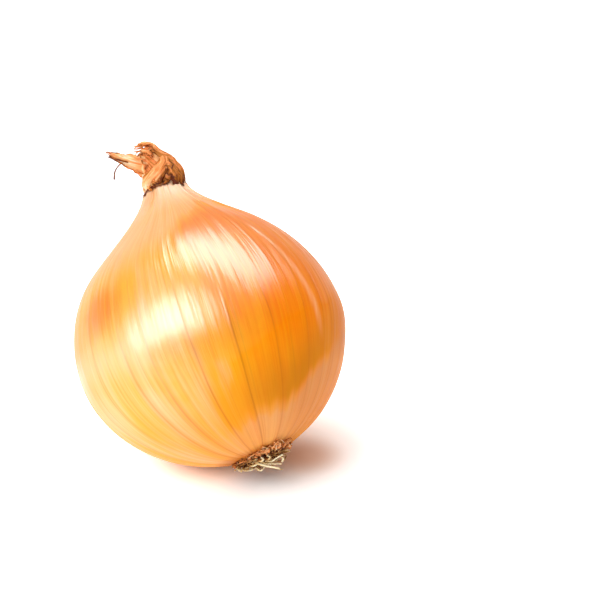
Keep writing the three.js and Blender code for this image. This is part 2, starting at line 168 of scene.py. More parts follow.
def random_from(seed):
    """A repeatable stream of random numbers, the same as for the solids."""
    state = seed
    word = 0xFFFFFFFF

    def draw(low=0.0, high=1.0):
        nonlocal state
        state = (state + 0x6D2B79F5) & word
        mixed = ((state ^ (state >> 15)) * (1 | state)) & word
        mixed = ((mixed + ((mixed ^ (mixed >> 7)) * (61 | mixed))) & word) ^ mixed
        return low + (high - low) * (mixed ^ (mixed >> 14)) / 2**32

    return draw


def smoothstep(value):
    held = np.clip(value, 0, 1)
    return held * held * (3 - 2 * held)


def bell(value):
    """1 at 0, falling to both sides."""
    return np.exp(-np.square(value))


def turn_between(start, end):
    """The smaller turn from one azimuth to another."""
    return (end - start + math.pi) % TURN - math.pi


def ripples(points, wavelength, seed):
    """A smooth uneven field over points, from about -1 to 1, with bumps of about one wavelength."""
    draw = random_from(seed)
    total = np.zeros(points.shape[:-1])
    for _ in range(RIPPLE_WAVES):
        direction = np.array([draw(-1, 1), draw(-1, 1), draw(-1, 1)])
        direction *= TURN / wavelength * draw(0.6, 1.4) / np.linalg.norm(direction)
        total += np.sin(points @ direction + draw(0, TURN))
    return total / math.sqrt(RIPPLE_WAVES / 2) * 0.6


def around_axis(radius, azimuth, height):
    """Points at a distance from the onion's axis, at an azimuth and a height."""
    return np.stack(np.broadcast_arrays(radius * np.cos(azimuth), radius * np.sin(azimuth), height), axis=-1)


def placed(points):
    """Where points of the onion's frame lie, in metres."""
    return points @ PLACEMENT[:3, :3].T + PLACEMENT[:3, 3]


def add_object(name, data):
    made = bpy.data.objects.new(name, data)
    bpy.context.scene.collection.objects.link(made)
    return made


# Meshes

def piece(name, points, faces, values, replaces, material):
    """A smooth piece from points in the onion's frame, with named values at its points for its material."""
    corners = placed(points)
    corners[:, 2] = np.maximum(corners[:, 2], 0)
    mesh = bpy.data.meshes.new(name)
    mesh.from_pydata(corners.tolist(), [], faces)
    for key, value in values.items():
        kind, field = ("FLOAT_VECTOR", "vector") if value.ndim == 2 else ("FLOAT", "value")
        layer = mesh.attributes.new(key, kind, "POINT")
        layer.data.foreach_set(field, np.ascontiguousarray(value, dtype=np.float32).ravel())
    mesh.materials.append(material)
    mesh.shade_smooth()
    made = add_object(name, mesh)
    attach(made, "root")
    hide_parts(replaces)


def ring_faces(rings, columns):
    """Faces of rings of points that close on themselves, with a point at each end after the last ring."""
    here = np.arange(rings * columns).reshape(rings, columns)
    after = np.roll(here, -1, axis=1)
    pole = np.full(columns, here.size)
    walls = np.stack([here[:-1], after[:-1], after[1:], here[1:]], axis=-1).reshape(-1, 4)
    start = np.stack([pole, after[0], here[0]], axis=-1)
    end = np.stack([pole + 1, here[-1], after[-1]], axis=-1)
    return walls.tolist() + np.stack([start, end], axis=1).reshape(-1, 3).tolist()


def sheet_faces(rows, columns):
    """Faces of a thin sheet: a grid of points for its outer side, then one for its inner side."""
    grid = np.arange(rows * columns).reshape(rows, columns)
    under = grid.size
    outer = np.stack([grid[:-1, :-1], grid[:-1, 1:], grid[1:, 1:], grid[1:, :-1]], axis=-1).reshape(-1, 4)
    both = np.stack([outer, outer[:, ::-1] + under], axis=1).reshape(-1, 4)
    edge = np.concatenate([grid[0, :-1], grid[:-1, -1], grid[-1, :0:-1], grid[:0:-1, 0]])
    after = np.roll(edge, -1)
    rim = np.stack([edge, edge + under, after + under, after], axis=-1)
    return both.tolist() + rim.tolist()


# Bulb

def rib_azimuths():
    """Where the ribs run. Those seen from the front follow the veins there."""
    draw = random_from(11)
    ribs = np.array([(rib + RIB_SCATTER * draw(-0.5, 0.5)) / RIB_COUNT * TURN for rib in range(RIB_COUNT)])
    for rib, (degrees, _) in enumerate(FRONT_VEINS, FIRST_FRONT_RIB):
        ribs[rib] = math.radians(degrees) % TURN
    return ribs


def vein_strengths():
    """How dark each rib's vein is."""
    draw = random_from(41)
    strengths = np.array([draw(0.2, 0.9) for _ in range(RIB_COUNT)])
    for rib, (_, strength) in enumerate(FRONT_VEINS, FIRST_FRONT_RIB):
        strengths[rib] = strength
    return strengths


def outline():
    """Radius and height of the bulb's rows of points from the root rim to the collar."""
    rim = math.asin(RIM_RADIUS / BULB_RADIUS)
    belly = np.linspace(rim, math.pi / 2, BELLY_ROWS)
    shoulder_end = math.asin((SHOULDER_END - EQUATOR_HEIGHT) / SHOULDER_HALF_HEIGHT)
    shoulder = np.linspace(0, shoulder_end, SHOULDER_ROWS)[1:]
    start_radius = BULB_RADIUS * math.cos(shoulder_end)
    start_slope = -BULB_RADIUS / SHOULDER_HALF_HEIGHT * math.tan(shoulder_end)
    length = NECK_HEIGHT - SHOULDER_END
    share = np.linspace(0, 1, NECK_ROWS)[1:]
    neck = (
        start_radius * (1 + 2 * share) * (1 - share) ** 2
        + NECK_RADIUS * share * share * (3 - 2 * share)
        + length * (start_slope * share * (1 - share) ** 2 + NECK_SLOPE * share * share * (share - 1))
    )
    radius = np.concatenate([BULB_RADIUS * np.sin(belly), BULB_RADIUS * np.cos(shoulder), neck])
    height = np.concatenate([
        EQUATOR_HEIGHT * (1 - np.cos(belly)),
        EQUATOR_HEIGHT + SHOULDER_HALF_HEIGHT * np.sin(shoulder),
        SHOULDER_END + length * share,
    ])
    return radius, height


def middle_at(height):
    """How far the middle of a level lies to the right of the onion's axis."""
    belly = BELLY_SHIFT * np.sin(math.pi * np.clip(height / NECK_HEIGHT, 0, 1))
    return -belly - SHOULDER_SHIFT * bell((height - SHOULDER_SHIFT_HEIGHT) / SHOULDER_SHIFT_REACH)


def sector(azimuth, degrees, spread):
    """1 at an azimuth given in degrees, falling to both sides."""
    return bell(turn_between(math.radians(degrees), azimuth) / spread)


def spots(azimuth, height, table):
    """The sum of a table's soft spots."""
    return sum(
        strength * sector(azimuth, degrees, spread) * bell((height - middle) / tall)
        for degrees, middle, spread, tall, strength in table
    )


def outer_layer(azimuth, height):
    """Where a dull outermost layer of skin is left, round the neck: 1 on it and 0 off it."""
    low_side = sector(azimuth, LAYER_LOW_AZIMUTH, LAYER_LOW_SPREAD)
    edge = LAYER_EDGE - LAYER_DROP * low_side + 1.3 * np.sin(5 * azimuth + 1) + 0.9 * np.sin(13 * azimuth + 2)
    edge = edge + 0.5 * np.sin(29 * azimuth) + 0.4 * np.sin(53 * azimuth + 1)
    return smoothstep((height - edge) / (2.2 + 12 * low_side) + 0.5)


def loose_lap(azimuth, height, radius):
    """How high a loose lap of skin stands on the right shoulder, and how near its edge is, for a painted
    highlight along it.
    """
    edge = np.radians(LAP_AZIMUTH + LAP_SLANT * (LAP_HEIGHT - height))
    past_edge = turn_between(edge, azimuth) * radius
    fade = smoothstep((height - LAP_START) / 12) * smoothstep((LAP_END - height) / 8)
    rise = LAP_RISE * smoothstep(past_edge / 0.7 + 0.5) * np.exp(-np.maximum(past_edge, 0) / 9) * fade
    return rise, bell(past_edge / 0.8) * fade


def collar_tip(azimuth, spread=1):
    """1 at the collar's raised tip of skin and 0 away from it."""
    return bell(turn_between(COLLAR_TIP_AZIMUTH, azimuth) / (spread * COLLAR_TIP_SPREAD))


def collar_rise(azimuth):
    """How high the collar's edge stands over its mean height."""
    rise = COLLAR_TIP_RISE * collar_tip(azimuth) + COLLAR_WAVE * np.sin(5 * azimuth)
    return rise + 0.1 * np.sin(23 * azimuth + 1) + 0.1 * np.sin(41 * azimuth)


def skin_azimuths(height, fullness):
    """Azimuths of the skin's points. The ribs, where they are closest, wander a little on their way up."""
    rib = np.arange(RIB_COUNT)[None, :]
    wander = np.sin(height / 9 + 2.4 * rib) + 0.5 * np.sin(height / 3.7 + 4.1 * rib)
    ribs = rib_azimuths()[None, :] + RIB_WANDER * wander * fullness
    after = np.concatenate([ribs[:, 1:], ribs[:, :1] + TURN], axis=1)
    return (ribs[:, :, None] + (after - ribs)[:, :, None] * RIB_STEPS).reshape(len(height), -1)


def skin_shades(azimuth, height, fullness, warmth_ripples):
    """What the skin's colour and gloss follow, each from 0 to about 1."""
    warmth = 0.5 + 0.46 * np.cos(azimuth + 0.09) * (0.6 + 0.4 * fullness) + 0.08 * warmth_ripples
    reflection_edge = np.interp(np.degrees(turn_between(0, azimuth)), REFLECTION_EDGE_AZIMUTHS, REFLECTION_EDGE_HEIGHTS)
    above_reflection = height - reflection_edge + 0.5 * np.sin(34 * azimuth) + 0.4 * np.sin(61 * azimuth + 1)
    # painted shade: an olive patch just above the painted floor reflection, on the front right
    painted_olive_shade = sector(azimuth, PAINTED_SHADE_AZIMUTH, 0.6) * smoothstep(above_reflection / 4.5 + 0.4)
    painted_olive_shade = painted_olive_shade * bell(np.maximum(above_reflection - 3, 0) / 9)
    tan = spots(azimuth, height, TAN_COLLAR)

    glossy_from = 21 + 9 * sector(azimuth, HIGHLIGHT_AZIMUTH, 0.6)
    shine = (
        0.16 + 0.84 * smoothstep((height - glossy_from) / 14)
        - 0.95 * np.clip(1.3 * painted_olive_shade, 0, 1)
        - 0.85 * sector(azimuth, RIGHT_FLANK_AZIMUTH, 0.55)
        - 0.75 * sector(azimuth, LEFT_FLANK_AZIMUTH, 0.5) * smoothstep((height - 36) / 10)
        - spots(azimuth, height, DULL_SPOTS)
    )

    # painted shade: browner along the right flank
    brown = sector(azimuth, RIGHT_FLANK_AZIMUTH, 0.4) * smoothstep((height - 16) / 8)
    brown = (brown + spots(azimuth, height, BROWN_SPOTS_AND_FLANK_SHADE)) * smoothstep((72 - height) / 12)
    return {
        "layer": outer_layer(azimuth, height) * (1 - 0.75 * tan),
        "warmth": warmth + spots(azimuth, height, WARM_SPOTS),
        "painted_olive_shade": painted_olive_shade,
        "brown": brown + 0.8 * tan,
        # painted reflection of the white floor: salmon low on the front right
        "painted_floor_reflection": smoothstep(0.5 - above_reflection / 4.6) * sector(azimuth, FLOOR_REFLECTION_AZIMUTH, 1.1),
        "shine": np.clip(shine, 0.02, 1),
    }


def bulb():
    radius, height = (row[:, None] for row in outline())
    level = height / NECK_HEIGHT
    fullness = np.sin(math.pi * np.clip(level, 0, 1))
    azimuth = skin_azimuths(height, fullness)
    turned = azimuth + RIB_SWIRL * (level - 0.5)

    # the nearest rib and how far it is
    ribs = rib_azimuths()
    gaps = np.diff(np.append(ribs, ribs[0] + TURN))
    share = np.tile(np.minimum(RIB_STEPS, 1 - RIB_STEPS), RIB_COUNT)[None, :]
    vein_distance = share * np.repeat(gaps, len(RIB_STEPS))[None, :] * radius
    rib_before = np.repeat(np.arange(RIB_COUNT), len(RIB_STEPS))
    nearest = (rib_before + np.tile(RIB_STEPS > 0.5, RIB_COUNT)) % RIB_COUNT

    # the form
    hollow = (
        FLANK_HOLLOW * ((1 + np.cos(azimuth)) / 2) ** 2
        * smoothstep(height / FLANK_HOLLOW_START)
        * smoothstep((FLANK_HOLLOW_TOP - height) / FLANK_HOLLOW_FADE)
    )
    gathered = smoothstep((height - PLEAT_START) / PLEAT_RUN)
    lobes = TWO_LOBES * np.sin(2 * azimuth) + THREE_LOBES * np.sin(3 * azimuth)
    pleat = PLEAT_DEPTH * gathered * np.cos(PLEAT_COUNT * azimuth + 2 * np.sin(2 * azimuth))
    crest = RIB_HEIGHT * np.sqrt(fullness) * bell(share / 0.2)
    reach = radius * (1 + lobes * fullness) + pleat + crest
    reach = reach + spots(azimuth, height, FLANK_BULGE) - hollow

    # fine relief
    at = around_axis(reach, turned, height)
    lengthwise = at * np.array([1, 1, 0.3])
    lap, painted_lap_highlight = loose_lap(azimuth, height, radius)
    near_root = smoothstep((16 - height) / 14)
    reach = (
        reach + lap
        + 0.04 * bell(vein_distance / 0.35) * fullness
        + 0.16 * ripples(at, 26, 3) * fullness
        + 0.03 * ripples(lengthwise, 7, 4) * (0.3 + fullness)
        + 0.08 * outer_layer(azimuth, height)
        + 0.12 * gathered * np.sin(31 * azimuth + 3 * np.sin(azimuth))
        + 0.05 * gathered * np.sin(67 * azimuth)
        + 0.14 * near_root * np.sin(27 * azimuth + 2 * np.sin(3 * azimuth))
    )

    rise = collar_rise(azimuth)
    skin = around_axis(reach, turned, height + rise * smoothstep((height - NECK_HEIGHT + 2) / 2))
    skin[..., 0] += middle_at(height)

    def circle(circle_radius, circle_height, row):
        return around_axis(circle_radius, turned[row], circle_height)[None]

    # the socket for the root plate and the cup in the collar
    cup_floor = NECK_HEIGHT - COLLAR_CUP_DEPTH
    socket = [
        circle(SOCKET_RADIUS / 2, SOCKET_DEPTH, 0),
        circle(SOCKET_RADIUS, SOCKET_DEPTH, 0),
        circle(SOCKET_RADIUS + 0.3, height[0, 0] - 0.2, 0),
    ]
    cup = [
        circle(COLLAR_BORE + 0.6, NECK_HEIGHT + rise[-1], -1),
        circle(COLLAR_BORE, NECK_HEIGHT - 0.3 + rise[-1], -1),
        circle(COLLAR_BORE - 0.2, cup_floor, -1),
    ]
    rings = np.concatenate(socket + [skin] + cup)
    points = np.concatenate([rings.reshape(-1, 3), [[0, 0, SOCKET_DEPTH], [0, 0, cup_floor]]])

    def padded(value):
        """A value over the skin's grid, carried on to the rings and poles at both ends."""
        grid = np.broadcast_to(value, skin.shape[:2])
        grid = np.concatenate([grid[:1]] * len(socket) + [grid] + [grid[-1:]] * len(cup))
        return np.append(grid.ravel(), [grid[0, 0], grid[-1, 0]])

    shades = skin_shades(azimuth, height, fullness, ripples(lengthwise, 30, 5))
    shades["vein_distance"] = vein_distance
    shades["vein_strength"] = vein_strengths()[nearest][None, :] * smoothstep((60 - height) / 30)
    shades["lap"] = painted_lap_highlight
    shades["crease"] = smoothstep((height - CREASE_START) / 0.5) * (1 - collar_tip(azimuth, 1.2))
    shades["shine"] = shades["shine"] * (1 - shades["crease"])
    shades["height"] = height
    values = {key: padded(value) for key, value in shades.items()}
    values["fibre"] = np.stack([padded(np.cos(azimuth)), padded(np.sin(azimuth)), padded(level)], axis=-1)
    piece("onion_skin", points, ring_faces(*rings.shape[:2]), values, "bulb", skin_material())


# Thin dry leaves, strands and the pieces made of them

SEED_STEP = 7.3


class Gathering:
    """Many small closed surfaces that make up one piece, with named values at their points."""

    def __init__(self):
        self.points = []
        self.faces = []
        self.values = {}
        self.count = 0

    def add(self, points, faces, **values):
        self.points.append(points)
        self.faces += [[self.count + corner for corner in face] for face in faces]
        self.count += len(points)
        for key, value in values.items():
            self.values.setdefault(key, []).append(value)

    def piece(self, name, slot, replaces, material):
        values = {key: np.concatenate(value) for key, value in self.values.items()}
        piece(name, np.concatenate(self.points), self.faces, values, replaces, material)


def spline(path, shares):
    """Points and unit directions along a smooth line through the points of a path."""
    knots = np.asarray(path, dtype=float)
    knots = np.concatenate([[2 * knots[0] - knots[1]], knots, [2 * knots[-1] - knots[-2]]])

    def at(share):
        place = np.clip(share, 0, 1) * (len(knots) - 3)
        index = np.minimum(place.astype(int), len(knots) - 4)
        t = (place - index)[:, None]
        a, b, c, d = (knots[index + step] for step in range(4))
        return b + 0.5 * t * (c - a + t * (2 * a - 5 * b + 4 * c - d + t * (3 * (b - c) + d - a)))

    ahead = at(shares + 0.001) - at(shares - 0.001)
    return at(shares), ahead / np.linalg.norm(ahead, axis=1, keepdims=True)


def length_of(line):
    return np.sum(np.linalg.norm(np.diff(line, axis=0), axis=1))


def along_list(values, shares):
    """Values at shares of the way along an evenly spaced list."""
    return np.interp(shares, np.linspace(0, 1, len(values)), values)


def sheet(gathering, seed, path, widths, cups, hub, tones, rows=50, columns=21, thickness=0.28,
          crumple=0.0, wrinkle=0.12, ragged=0.12, frayed=0.0):
    """A thin dry leaf along a path. Its outer side turns away from the hub, and its edges curl towards it."""
    share = np.linspace(0, 1, rows)
    centre, along = spline(path, share)
    out = centre - np.asarray(hub, dtype=float)
    out -= along * np.sum(out * along, axis=1, keepdims=True)
    out /= np.linalg.norm(out, axis=1, keepdims=True)
    side = np.cross(along, out)
    length = length_of(centre)
    centre, along, out, side = (each[:, None, :] for each in (centre, along, out, side))

    share = share[:, None]
    across = np.linspace(-1, 1, columns)[None, :]
    cup = along_list(cups, share)
    width = along_list(widths, share)
    draw = random_from(seed)
    phases = [draw(0, TURN) for _ in range(8)]
    notch = np.sin(19 * share + phases[0]) + 0.7 * np.sin(43 * share + phases[1] + across)
    angle = cup * across * (1 + ragged * notch * across * across)
    bend = width / 2 / np.sin(cup)
    normal = side * np.sin(angle)[..., None] + out * np.cos(angle)[..., None]
    column = 2 * (across + 1)
    wave = crumple * np.sin(5 * share + 2.6 * column) * np.sin(9 * share + 1.3 * column)
    wave = wave + 0.5 * crumple * np.sin(17 * share + 5 * across + phases[2]) * np.sin(7 * across + phases[3])
    ridges = np.sin(3.2 * width * across + 2 * np.sin(3 * share + phases[4]))
    ridges = ridges + 0.6 * np.sin(7 * width * across + phases[5])
    wave = wave + wrinkle * ridges * np.sin(math.pi * np.clip(0.15 + share, 0, 1)) * 0.6
    fray = frayed * share**3 * (np.sin(9 * across + phases[6]) + 0.6 * np.sin(23 * across + phases[7]))
    middle = centre - out * bend[..., None] + normal * (bend + wave)[..., None] + along * fray[..., None]
    half = normal * thickness / 2
    points = np.concatenate([(middle + half).reshape(-1, 3), (middle - half).reshape(-1, 3)])

    def twice(value):
        flat = np.broadcast_to(value, (rows, columns)).ravel()
        return np.concatenate([flat, flat])

    grain = np.stack([twice(across * width / 2), twice(share * length), twice(SEED_STEP * seed)], axis=-1)
    values = {"grain": grain, "tone": twice(along_list(tones, share)), "edge": twice(np.abs(across))}
    gathering.add(points, sheet_faces(rows, columns), **values)


def strand(gathering, seed, path, radii, tones, steps=10, sides=6):
    """A thin round strand along a path."""
    share = np.linspace(0, 1, steps)
    centre, along = spline(path, share)
    side = np.cross(along, [0.31, 0.82, 0.48])
    side /= np.linalg.norm(side, axis=1, keepdims=True)
    up = np.cross(along, side)
    radius = along_list(radii, share)
    angle = np.arange(sides) / sides * TURN
    around = side[:, None] * np.cos(angle)[:, None] + up[:, None] * np.sin(angle)[:, None]
    rings = centre[:, None] + around * radius[:, None, None]
    points = np.concatenate([rings.reshape(-1, 3), centre[[0, -1]]])
    run = np.append(np.repeat(share, sides), [0, 1])
    turn = np.append(np.tile(angle, steps), [0, 0])
    grain = [0.3 * np.cos(turn), run * length_of(centre), np.full(len(run), SEED_STEP * seed)]
    values = {"grain": np.stack(grain, axis=-1), "tone": along_list(tones, run), "edge": np.zeros(len(run))}
    gathering.add(points, ring_faces(steps, sides), **values)


# Dry neck

# The twisted bundle in the middle of the neck: half widths along X and Y at heights over the collar
BUNDLE_HEIGHTS = [-1.4, 0.5, 2.4, 5.5, 8.6, 11.2, 13.6]
BUNDLE_MIDDLES = [0, 0.1, 0.3, 0.5, 0.4, -0.1, -0.3]
BUNDLE_HALF_X = [4.8, 5.5, 5.6, 4.6, 3.6, 2.7, 1.7]
BUNDLE_HALF_Y = [4.8, 5.2, 4.9, 3.8, 2.8, 2.0, 1.3]
BUNDLE_FOLDS = 7
BUNDLE_TWIST = 0.14
BUNDLE_ROWS = 70
BUNDLE_SIDES = 140


def raised(points):
    """Points given by their height over the collar, in the onion's frame."""
    return np.asarray(points, dtype=float) + [0, 0, NECK_HEIGHT]


def bundle(gathering):
    """The twisted middle of the neck, with deep folds and finer ones."""
    height = np.linspace(BUNDLE_HEIGHTS[0], BUNDLE_HEIGHTS[-1], BUNDLE_ROWS)[:, None]
    azimuth = (np.arange(BUNDLE_SIDES) / BUNDLE_SIDES * TURN)[None, :]
    turned = azimuth + BUNDLE_TWIST * height
    fold = 1 + 0.11 * np.cos(BUNDLE_FOLDS * turned) + 0.03 * np.cos(19 * turned + 2 * np.sin(height / 2))
    fold = fold + 0.015 * np.cos(41 * turned + height)
    half_x, half_y, middle = (
        np.interp(height, BUNDLE_HEIGHTS, values) for values in (BUNDLE_HALF_X, BUNDLE_HALF_Y, BUNDLE_MIDDLES)
    )
    across = middle + half_x * fold * np.cos(azimuth)
    away = half_y * fold * np.sin(azimuth)
    rings = np.stack(np.broadcast_arrays(across, away, NECK_HEIGHT + height), axis=-1)
    poles = raised([[0, 0, BUNDLE_HEIGHTS[0]], [-0.4, 0, BUNDLE_HEIGHTS[-1] + 0.8]])
    points = np.concatenate([rings.reshape(-1, 3), poles])
    around = np.append(turned.ravel(), [0, 0])
    high = np.append((height + 0 * azimuth).ravel(), [BUNDLE_HEIGHTS[0], BUNDLE_HEIGHTS[-1]])
    grain = np.stack([5 * np.cos(around), high, 5 * np.sin(around)], axis=-1)
    tone = 0.6 - 0.12 * smoothstep((high - 2) / 8) + 0.4 * smoothstep((1.6 - high) / 1.2)
    faces = ring_faces(BUNDLE_ROWS, BUNDLE_SIDES)
    gathering.add(points, faces, grain=grain, tone=tone, edge=np.zeros(len(points)))


# The dry leaves. Paths and hubs are X, Y and height over the collar.
# Tones run from cream at 0 to dark brown at 1.
LEAVES = [
    {  # wraps the right side and folds over the top
        "path": [[6.5, -0.3, -1.2], [6.9, -0.6, 2], [6.5, -0.8, 5.4], [5.2, -0.8, 8.2], [2.6, -0.8, 10.9],
                 [1.5, -0.8, 13.6], [-0.3, -0.8, 14.8], [-2.3, -0.9, 15.3]],
        "widths": [9, 9.4, 8.4, 7, 5.6, 4.6, 3.6, 2.2],
        "cups": [0.9, 1, 1, 1, 0.9, 0.8, 0.6, 0.4],
        "hub": [-2, -0.5, 4],
        "tones": [1, 0.76, 0.7, 0.6, 0.48, 0.42, 0.38, 0.3],
        "rows": 80, "columns": 31, "crumple": 0.42, "wrinkle": 0.26, "frayed": 0.5,
    },
    {  # the beak that points left
        "path": [[-1.2, -1.4, 6.9], [-4.5, -2, 9.1], [-7.3, -2.2, 11.2], [-9.6, -2.1, 13.2],
                 [-11.8, -1.8, 15.3]],
        "widths": [7.2, 5.8, 4.1, 2.6, 1],
        "cups": [0.5, 0.7, 0.8, 0.8, 0.5],
        "hub": [-4, 8, 10],
        "tones": [0.5, 0.34, 0.2, 0.24, 0.6],
        "crumple": 0.15, "wrinkle": 0.2, "frayed": 0.9,
    },
    {  # a narrower leaf behind the beak
        "path": [[-1.2, 0.6, 5.8], [-4.8, -0.2, 7.8], [-7.6, -0.8, 10.1], [-9.9, -1.3, 12.3],
                 [-12, -1.6, 14.1]],
        "widths": [5.6, 4.2, 2.8, 1.8, 0.8],
        "cups": [0.5, 0.6, 0.6, 0.5, 0.4],
        "hub": [-6, -8, 14],
        "tones": [0.4, 0.2, 0.2, 0.6, 1],
        "rows": 40, "columns": 15, "frayed": 0.6,
    },
    {  # covers the front of the dome on the right
        "path": [[5.3, -4.7, -2], [5.6, -4.4, 0.6], [5.2, -4.2, 3.4], [4.1, -3.7, 6.2], [2.6, -3, 8.6]],
        "widths": [5.6, 6, 5.6, 4.2, 2.4],
        "cups": [0.7, 0.8, 0.8, 0.7, 0.6],
        "hub": [0, 0, 2],
        "tones": [1, 0.86, 0.7, 0.58, 0.5],
        "rows": 60, "columns": 27, "crumple": 0.36, "wrinkle": 0.28, "frayed": 0.4,
    },
    {  # folds over the front from lower left to upper right
        "path": [[-5, -3.1, 0.3], [-3.2, -4.6, 1.9], [0.3, -5.5, 3.8], [3.2, -4.4, 6.7], [3, -2.8, 9.7]],
        "widths": [4.6, 5.6, 5.2, 4, 2],
        "cups": [0.7, 0.7, 0.7, 0.6, 0.5],
        "hub": [0, 0, 4],
        "tones": [0.12, 0.3, 0.46, 0.5, 0.5],
        "crumple": 0.25, "wrinkle": 0.16, "ragged": 0.04, "frayed": 0.5,
    },
    {  # folds over the back from lower right to upper left
        "path": [[4.6, 2.8, 0.6], [2, 4.9, 2.4], [-1.6, 4.8, 5], [-3.4, 3.4, 7.8], [-3.6, 1.9, 10.6]],
        "widths": [4.8, 5.8, 5.6, 4.6, 2.4],
        "cups": [0.7, 0.7, 0.7, 0.6, 0.5],
        "hub": [0, 0, 4],
        "tones": [0.8, 0.6, 0.5, 0.4, 0.3],
        "crumple": 0.25, "wrinkle": 0.16, "frayed": 0.5,
    },
    {  # stands up the left side
        "path": [[-6, 0.2, -0.8], [-5.9, 0.2, 2.2], [-4.8, 0, 5.8], [-4.3, -0.3, 8.6], [-3.5, -0.6, 11.7]],
        "widths": [10.5, 9, 6.6, 5, 2.6],
        "cups": [0.8, 0.8, 0.8, 0.7, 0.5],
        "hub": [1, 0, 5],
        "tones": [0.3, 0.14, 0.16, 0.3, 0.45],
        "crumple": 0.18, "wrinkle": 0.16, "frayed": 0.5,
    },
    {  # a dark rolled edge over the dome on the right
        "path": [[0.6, -3.7, 6.2], [2.2, -4.2, 7.4], [4, -3.6, 7.2], [5.6, -2.8, 5.2], [6.5, -2.2, 2.6],
                 [6.5, -2, 0.5]],
        "widths": [0.6, 0.9, 1, 0.9, 0.8, 0.6],
        "cups": [1.2, 1.3, 1.2],
        "hub": [0, 0, 3],
        "tones": [0.9, 1, 0.85, 1],
        "rows": 40, "columns": 9, "crumple": 0.1, "wrinkle": 0.05,
    },
    {  # a dark crease down the front
        "path": [[3.6, -4.6, 5.4], [2.2, -5.2, 3.6], [0.6, -5.7, 1.9], [-0.8, -5.7, 0.2]],
        "widths": [0.5, 0.8, 0.8, 0.6],
        "cups": [1.2, 1.2],
        "hub": [0, 0, 3],
        "tones": [0.8, 0.95, 1],
        "rows": 30, "columns": 9, "crumple": 0.1, "wrinkle": 0.05,
    },
]

# Threads of the beak, one of which hangs down: path, radii and tones
THREADS = [
    ([[-8.8, -1.6, 11.5], [-10.6, -2.3, 10.6], [-12.2, -2.7, 9.1], [-13.2, -2.7, 6.9]],
     [0.22, 0.2, 0.28], [0.6, 1, 1.05]),
    ([[-7.5, -2.4, 10.6], [-9.8, -2.6, 12.2], [-12.6, -2, 14.4]], [0.2, 0.34, 0.16], [0.8, 1.05, 1.05]),
    ([[-7.5, -1.4, 12.9], [-9.8, -1.4, 14.5], [-12.9, -1.5, 16.1]], [0.2, 0.22, 0.2], [0.5, 0.8, 0.7]),
]
CREASE_TONES = [1.05, 0.95, 1.05, 1.0, 1.05]
CROWN_SHREDS = 13
CROWN_WISPS = 11


def crease(gathering):
    """The dark ring where the neck is pinched, on the edge of the collar."""
    azimuth = np.linspace(0, TURN, 61)
    off_tip = 1 - collar_tip(azimuth, 1.3)
    radius = 5.85 + 0.55 * off_tip + 0.1 * np.sin(17 * azimuth)
    height = collar_rise(azimuth) + 0.3 - 0.5 * off_tip + 0.1 * np.sin(11 * azimuth)
    radii = 0.27 + 0.08 * np.sin(7 * azimuth)
    path = raised(around_axis(radius, azimuth, height))
    strand(gathering, 60, path, radii, CREASE_TONES, steps=240, sides=7)


def crown(gathering):
    """Crumpled shreds at the top of the neck, some of them frayed towards the left."""
    draw = random_from(61)
    for index in range(CROWN_SHREDS):
        start = np.array([draw(-0.6, 2.6), draw(-2.4, 0.6), draw(9.4, 12.2)])
        rise = np.array([draw(-1.6, 0.4), draw(-0.9, 0.4), draw(0.9, 1.9)])
        turn = np.array([draw(-2.2, -0.6), draw(-0.8, 0.6), draw(-0.4, 0.9)])
        path = [start, start + rise, start + rise + 0.9 * turn, start + 0.8 * rise + 1.5 * turn]
        widths = [draw(1.4, 2.4), draw(1.4, 2.2), draw(0.9, 1.6), 0.5]
        tones = [draw(0.5, 0.7), draw(0.4, 0.6), draw(0.25, 0.5)]
        sheet(gathering, 70 + index, raised(path), widths, [0.9, 0.8, 0.6], raised([0, 0, 8]), tones,
              rows=22, columns=9, thickness=0.25, crumple=0.25, wrinkle=0.1, ragged=0.2, frayed=0.3)
    for index in range(CROWN_WISPS):
        start = np.array([draw(-2.4, -0.6), draw(-2.0, 0.2), draw(11.4, 15.2)])
        middle = start + [-1.5, draw(-0.4, 0.4), draw(0.0, 0.7)]
        end = start + [draw(-3.6, -2.4), draw(-0.6, 0.6), draw(-0.5, 0.9)]
        strand(gathering, 90 + index, raised([start, middle, end]), [0.3, 0.24, 0.12], [0.5, 0.6, 0.5])


def dry_neck():
    tuft = Gathering()
    bundle(tuft)
    for index, each in enumerate(LEAVES):
        shape = {**each, "path": raised(each["path"]), "hub": raised(each["hub"])}
        sheet(tuft, index + 1, **shape)
    for index, (path, radii, tones) in enumerate(THREADS):
        strand(tuft, 20 + index, raised(path), radii, tones, steps=16)
    crease(tuft)
    crown(tuft)
    tuft.piece("dry_neck_leaves", "dry_leaf", "dry_neck", leaf_material("dry_leaf"))


# Root end

def off_skin(radius, azimuth, gap):
    """A point that is a gap below the skin near the root end."""
    skin_height = EQUATOR_HEIGHT * (1 - math.sqrt(1 - (radius / BULB_RADIUS) ** 2))
    return around_axis(radius, azimuth, skin_height - gap)


# The torn tips and the thin curls among them: where they are longest, in degrees, and how many there are
FRINGE_AZIMUTH = -62
FRINGE_TEETH = 46
CURLS_AZIMUTH = -63
CURLS = 40


